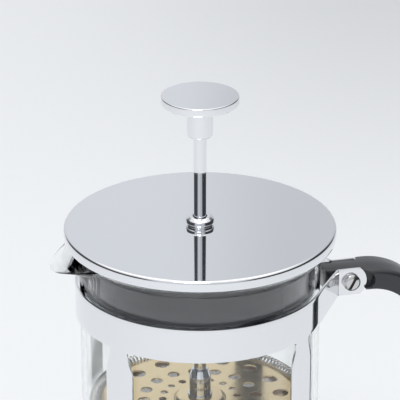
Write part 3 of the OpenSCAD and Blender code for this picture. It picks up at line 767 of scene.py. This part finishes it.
def clamp_screw(name, z, node_name):
    """A slotted cheese-head screw across the handle, its head on the -Y side."""
    lo, hi = low(node_name), high(node_name)
    head_r = (hi.x - lo.x) / 2
    face = EAR_Y + SHEET / 2
    tip = -hi.y
    top = -lo.y
    outline = [
        (0, tip), (SCREW_SHANK_R, tip, 0.4 * MM), (SCREW_SHANK_R, face), (head_r, face, 0.15 * MM),
        (head_r, top - 0.9 * MM, 0.5 * MM), (head_r - 1.1 * MM, top - 0.12 * MM, 1.5 * MM), (0, top),
    ]
    screw = lathe(name, outline, 96)
    screw.data.materials.append(TURNED)
    slot_w, slot_d = 1.25 * MM, 1.3 * MM
    bpy.ops.mesh.primitive_cube_add(size=1)
    cutter = bpy.context.object
    cutter.data.transform(Matrix.Diagonal((3 * head_r, slot_w, 2 * slot_d, 1)))
    # The slot's cut faces take this dark steel: painted shade in the slot.
    cutter.data.materials.append(SLOT_PAINTED_SHADE)
    move(cutter, Matrix.Translation((0, 0, top)) @ Matrix.Rotation(math.radians(62), 4, "Z"))
    cut(screw, cutter)
    soften(screw, 0.08 * MM, 2, 50)
    move(screw, Matrix.Translation((SCREW_X, 0, z)) @ Matrix.Rotation(math.pi / 2, 4, "X"))
    place(screw, "frame", "screw_steel", TURNED, node_name)


def clamp_nut(name, z, node_name):
    lo, hi = low(node_name), high(node_name)
    flat = (hi.z - lo.z) / 2
    corner = flat / math.cos(math.pi / 6)
    height = hi.y - lo.y
    chamfer = 0.45 * MM
    levels = [(SCREW_SHANK_R, 0), (flat, 0), (corner, chamfer),
              (corner, height - chamfer), (flat, height), (SCREW_SHANK_R, height)]
    verts, sides, around = [], 6, 12
    for r, up in levels:
        for k in range(sides * around):
            a = TAU * k / (sides * around)
            hexagon = flat / math.cos((a + math.pi / 6) % (TAU / 6) - math.pi / 6)
            radius = min(r, hexagon)
            verts.append((radius * math.cos(a), radius * math.sin(a), up))
    faces = grid_faces(len(levels), sides * around, close_rows=True, close_cols=True)
    nut = solid(name, verts, faces, 25)
    move(nut, Matrix.Translation((SCREW_X, lo.y, z)) @ Matrix.Rotation(-math.pi / 2, 4, "X"))
    place(nut, "frame", "screw_steel", TURNED, node_name)


# ---- handle ----


def pocket_cutter(side, z, centre_x, radius, start_x):
    """A pocket with a round end, cut from a side of an arm down to its tongue."""
    outline = [(centre_x + radius * math.sin(math.pi * k / 32), -radius * math.cos(math.pi * k / 32))
               for k in range(33)]
    outline += [(start_x, radius), (start_x, -radius)]
    verts = [(SCREW_X + px, y, z + pz)
             for y in sorted((side * TONGUE_HALF, side * HANDLE_W)) for px, pz in outline]
    n = len(outline)
    faces = grid_faces(2, n, close_cols=True)
    faces += caps(0, n, n)
    return solid("pocket_cutter", verts, faces)


def handle():
    lo, hi = low("handle"), high("handle")
    half_t = HANDLE_T / 2
    top, bottom, out = hi.z - half_t, lo.z + half_t, hi.x - half_t
    upper_r, lower_r = HANDLE_UPPER_R - half_t, HANDLE_LOWER_R - half_t
    start = lo.x
    path = [(Vector((start, 0, top)), Vector((0, 0, 1)))]
    corner_steps = 28
    for k in range(9):
        x = start + (out - upper_r - start) * (k + 1) / 9
        path.append((Vector((x, 0, top)), Vector((0, 0, 1))))
    for k in range(1, corner_steps + 1):
        a = math.pi / 2 * (1 - k / corner_steps)
        n = Vector((math.cos(a), 0, math.sin(a)))
        path.append((Vector((out - upper_r, 0, top - upper_r)) + n * upper_r, n))
    for k in range(1, 12):
        z = top - upper_r + (bottom + lower_r - top + upper_r) * k / 12
        path.append((Vector((out, 0, z)), Vector((1, 0, 0))))
    for k in range(corner_steps + 1):
        a = -math.pi / 2 * k / corner_steps
        n = Vector((math.cos(a), 0, math.sin(a)))
        path.append((Vector((out - lower_r, 0, bottom + lower_r)) + n * lower_r, n))
    for k in range(9):
        x = out - lower_r + (start - out + lower_r) * (k + 1) / 9
        path.append((Vector((x, 0, bottom)), Vector((0, 0, -1))))
    w = HANDLE_W / 2
    crown = 0.5 * MM
    section = rounded([
        (-w, -half_t + crown, 1.3 * MM), (0, -half_t, 30 * MM), (w, -half_t + crown, 1.3 * MM),
        (w, half_t - crown, 1.8 * MM), (0, half_t, 30 * MM), (-w, half_t - crown, 1.8 * MM),
    ], 7)
    verts = []
    for centre, n in path:
        verts += [centre + Vector((0, p.x, 0)) + n * p.y for p in section]
    count = len(section)
    faces = grid_faces(len(path), count, close_cols=True)
    faces += caps(0, (len(path) - 1) * count, count)
    grip = solid("handle_moulding", verts, faces, 40)
    for screw_z, arm_z in ((UPPER_SCREW_Z, UPPER_SCREW_Z + ARM_RISE), (LOWER_SCREW_Z, LOWER_SCREW_Z)):
        for side in (-1, 1):
            cut(grip, pocket_cutter(side, screw_z, EAR_ARC_X, EAR_END_R + SHOULDER_GAP, -20 * MM), 40)
            cut(grip, pocket_cutter(side, arm_z, POCKET_X, POCKET_R, EAR_ARC_X), 40)
    soften(grip, 0.25 * MM, 2, 50, 40)
    place(grip, "frame", "handle_plastic", BLACK_SATIN, "handle")


# ---- beaker ----


def glass_profile():
    """Points (r, z) round the beaker's wall, from the outer base centre to the inner base centre."""
    corner = 7 * MM
    out, inn = GLASS_R, GLASS_R - GLASS_WALL
    base, floor = GLASS_LOW, GLASS_LOW + GLASS_BASE
    bead = 1.1 * MM
    bead_r, bead_z = BEAD_OUT_R - bead, RIM_TOP - bead
    pts = [(0, base), (out * 0.5, base)]
    for k in range(13):
        a = -math.pi / 2 + math.pi / 2 * k / 12
        pts.append((out - corner + corner * math.cos(a), base + corner + corner * math.sin(a)))
    wall_top = bead_z - 3.2 * MM
    lower = RIM_TOP - 22 * MM
    pts += [(out, base + corner + (lower - base - corner) * k / 24) for k in range(1, 25)]
    pts += [(out, lower + (wall_top - lower) * k / 22) for k in range(1, 23)]
    for k in range(1, 7):
        t = k / 7
        pts.append((out + (bead_r + bead * 0.75 - out) * t * t,
                    wall_top + (bead_z - bead * 0.7 - wall_top) * t))
    for k in range(13):
        a = -0.75 + (math.pi / 2 + 0.75) * k / 12
        pts.append((bead_r + bead * math.cos(a), bead_z + bead * math.sin(a)))
    for k in range(1, 9):
        a = math.pi / 2 + math.pi / 2 * k / 8
        pts.append((inn + bead * 1.6 + bead * 1.6 * math.cos(a),
                    bead_z - 0.5 * MM + (bead + 0.5 * MM) * math.sin(a)))
    top_in = pts[-1][1]
    pts += [(inn, top_in + (lower - top_in) * k / 24) for k in range(1, 25)]
    in_corner = corner - GLASS_WALL
    pts += [(inn, lower + (floor + in_corner - lower) * k / 24) for k in range(1, 25)]
    for k in range(1, 13):
        a = -math.pi / 2 * k / 12
        pts.append((inn - in_corner + in_corner * math.cos(a), floor + in_corner + in_corner * math.sin(a)))
    pts += [(out * 0.5, floor), (0, floor)]
    return pts


def spout_shift(angle, z):
    """Outward and downward shift of the glass at an angle from the spout and a height."""
    if abs(angle) >= SPOUT_HALF or z < RIM_TOP - SPOUT_H:
        return 0, 0
    t = 1 - (RIM_TOP - z) / SPOUT_H
    lobe = (0.5 + 0.5 * math.cos(math.pi * angle / SPOUT_HALF)) ** 1.25
    reach = SPOUT_REACH - BEAD_OUT_R
    return reach * lobe * t ** 2.1, SPOUT_DROP * lobe * t ** 3


def beaker():
    pts = glass_profile()
    verts = []
    segments = 420
    for k in range(segments):
        t = k / segments * 2 - 1
        from_spout = math.pi * (abs(t) ** 1.35) * (1 if t >= 0 else -1)
        a = math.pi + from_spout
        for r, z in pts:
            out, down = spout_shift(from_spout, z)
            verts.append(((r + out) * math.cos(a), (r + out) * math.sin(a), z - down))
    faces = grid_faces(segments, len(pts), close_rows=True)
    glass = solid("glass_beaker_blown", verts, faces, 60, 2e-7)
    place(glass, "beaker", "beaker_glass", GLASS, "glass_beaker")


# ---- the cross plate keeps its CAD shape ----


def dress_cross_plate():
    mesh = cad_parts["cross_plate"].data
    mesh.materials.clear()
    mesh.materials.append(FILTER_SHEET)
    smooth(mesh, 30)


# ---- camera, light and floor ----

VIEW_DISTANCE = 1.0368
VIEW_AZIMUTH = -14
VIEW_ELEVATION = 24
VIEW_PITCH = 23.475
LENS = 235.8


def camera():
    data = bpy.data.cameras.new("camera")
    data.sensor_width = 36
    data.lens = LENS
    data.clip_start = 0.05
    data.clip_end = 20
    view = link("camera", data)
    a, e = math.radians(VIEW_AZIMUTH), math.radians(VIEW_ELEVATION)
    back = Vector((math.sin(a) * math.cos(e), -math.cos(a) * math.cos(e), math.sin(e)))
    view.location = Vector((0, 0, LID_TOP)) + back * VIEW_DISTANCE
    view.rotation_euler = (math.radians(90 - VIEW_PITCH), 0, a)
    bpy.context.scene.camera = view


def area_light(name, where, target, size, power):
    data = bpy.data.lights.new(name, "AREA")
    data.shape = "RECTANGLE"
    data.size, data.size_y = size
    data.energy = power
    lamp = link(name, data)
    lamp.location = where
    lamp.rotation_euler = (Vector(target) - Vector(where)).to_track_quat("-Z", "Y").to_euler()


# ---- surroundings ----

VIEW_RIGHT = Vector((math.cos(math.radians(VIEW_AZIMUTH)), math.sin(math.radians(VIEW_AZIMUTH)), 0))
# Brightness of the surroundings from the view's left (-1) to its right (1)
SHADE_STEPS = ((-1, 0.10), (-0.74, 0.10), (-0.50, 0.95), (-0.03, 1.0), (0.07, 0.84), (0.45, 0.80),
               (0.72, 0.07), (1, 0.07))
# Colour of the surroundings from straight down (-1) to straight up (1)
SKY_STEPS = ((-1, (0.74, 0.76, 0.80)), (0, (0.78, 0.80, 0.84)), (0.5, (0.80, 0.825, 0.865)),
             (0.8, (1.0, 1.0, 1.0)), (1, (1.0, 1.0, 1.0)))
# Upward parts of a direction between which the shade from left to right fades out
SHADE_TOP = (0.50, 0.72)


def dot(tree, vector, axis):
    made = tree.nodes.new("ShaderNodeVectorMath")
    made.operation = "DOT_PRODUCT"
    made.inputs[1].default_value = axis
    tree.links.new(vector, made.inputs[0])
    return made.outputs["Value"]


def spread(tree, value, steps):
    """A colour ramp over values from -1 to 1."""
    mapper = tree.nodes.new("ShaderNodeMapRange")
    mapper.inputs["From Min"].default_value = -1
    tree.links.new(value, mapper.inputs["Value"])
    ramp = tree.nodes.new("ShaderNodeValToRGB")
    ramp.color_ramp.interpolation = "EASE"
    marks = ramp.color_ramp.elements
    while len(marks) < len(steps):
        marks.new(1)
    for mark, (at, colour) in zip(marks, steps):
        mark.position = (at + 1) / 2
        mark.color = (*colour, 1) if isinstance(colour, tuple) else (colour, colour, colour, 1)
    tree.links.new(mapper.outputs["Result"], ramp.inputs["Fac"])
    return ramp.outputs["Color"]


def smooth_range(tree, value, from_low, from_high, to_low, to_high):
    mapper = tree.nodes.new("ShaderNodeMapRange")
    mapper.interpolation_type = "SMOOTHSTEP"
    mapper.inputs["From Min"].default_value = from_low
    mapper.inputs["From Max"].default_value = from_high
    mapper.inputs["To Min"].default_value = to_low
    mapper.inputs["To Max"].default_value = to_high
    tree.links.new(value, mapper.inputs["Value"])
    return mapper.outputs["Result"]


def studio():
    scene = bpy.context.scene
    scene.view_settings.view_transform = "Standard"
    world = bpy.data.worlds.new("studio")
    scene.world = world
    world.use_nodes = True
    tree = world.node_tree
    where = tree.nodes.new("ShaderNodeTexCoord")
    across = dot(tree, where.outputs["Generated"], (VIEW_RIGHT.x, VIEW_RIGHT.y, 0))
    up = dot(tree, where.outputs["Generated"], (0, 0, 1))
    shade = spread(tree, across, SHADE_STEPS)
    sky = spread(tree, up, SKY_STEPS)
    mix = tree.nodes.new("ShaderNodeMix")
    mix.data_type = "RGBA"
    mix.blend_type = "MULTIPLY"
    tree.links.new(smooth_range(tree, up, *SHADE_TOP, 1, 0), mix.inputs["Factor"])
    tree.links.new(sky, mix.inputs["A"])
    tree.links.new(shade, mix.inputs["B"])
    tree.links.new(mix.outputs["Result"], tree.nodes["Background"].inputs["Color"])
    tree.nodes["Background"].inputs["Strength"].default_value = 1.0
    area_light("key", (-0.29, -0.64, 1.42), (0, 0, 0.1), (0.5, 0.5), 7)
    area_light("top", (0.1, 0.5, 2.2), (0.1, 0.4, 0), (2.4, 2.4), 7.8)
    bpy.ops.mesh.primitive_plane_add(size=8)
    floor = bpy.context.object
    floor.name = "floor"
    material, tree, shader = new_material("floor")
    shader.inputs["Roughness"].default_value = 0.7
    # Painted shade: the floor's colour darkens towards black on its far side, from 5 % on the view's left to
    # 24 % on its right.
    where = tree.nodes.new("ShaderNodeTexCoord").outputs["Object"]
    back = Vector((-VIEW_RIGHT.y, VIEW_RIGHT.x, 0))
    painted_far_shade = smooth_range(tree, dot(tree, where, back), 0.15, 0.85, 0, 1)
    painted_right_shade = smooth_range(tree, dot(tree, where, VIEW_RIGHT), -0.16, 0.14, 0.05, 0.24)
    painted_floor_shade = tree.nodes.new("ShaderNodeMath")
    painted_floor_shade.operation = "MULTIPLY"
    tree.links.new(painted_far_shade, painted_floor_shade.inputs[0])
    tree.links.new(painted_right_shade, painted_floor_shade.inputs[1])
    mix = tree.nodes.new("ShaderNodeMix")
    mix.data_type = "RGBA"
    mix.inputs["A"].default_value = (0.85, 0.868, 0.885, 1)
    mix.inputs["B"].default_value = (0.0, 0.0, 0.0, 1)
    tree.links.new(painted_floor_shade.outputs["Value"], mix.inputs["Factor"])
    tree.links.new(mix.outputs["Result"], shader.inputs["Base Color"])
    floor.data.materials.append(material)


camera()
studio()
lid_cap()
lid_insert()
guide_parts()
rod()
knob()
filter_hub()
filter_plate()
edge_coil()
woven_screen()
frame_sheets()
base_ring()
for height, part in ((UPPER_SCREW_Z, "upper_clamp"), (LOWER_SCREW_Z, "lower_clamp")):
    clamp_screw(part + "_screw_turned", height, part + "_screw")
    clamp_nut(part + "_nut_pressed", height, part + "_nut")
handle()
beaker()
dress_cross_plate()
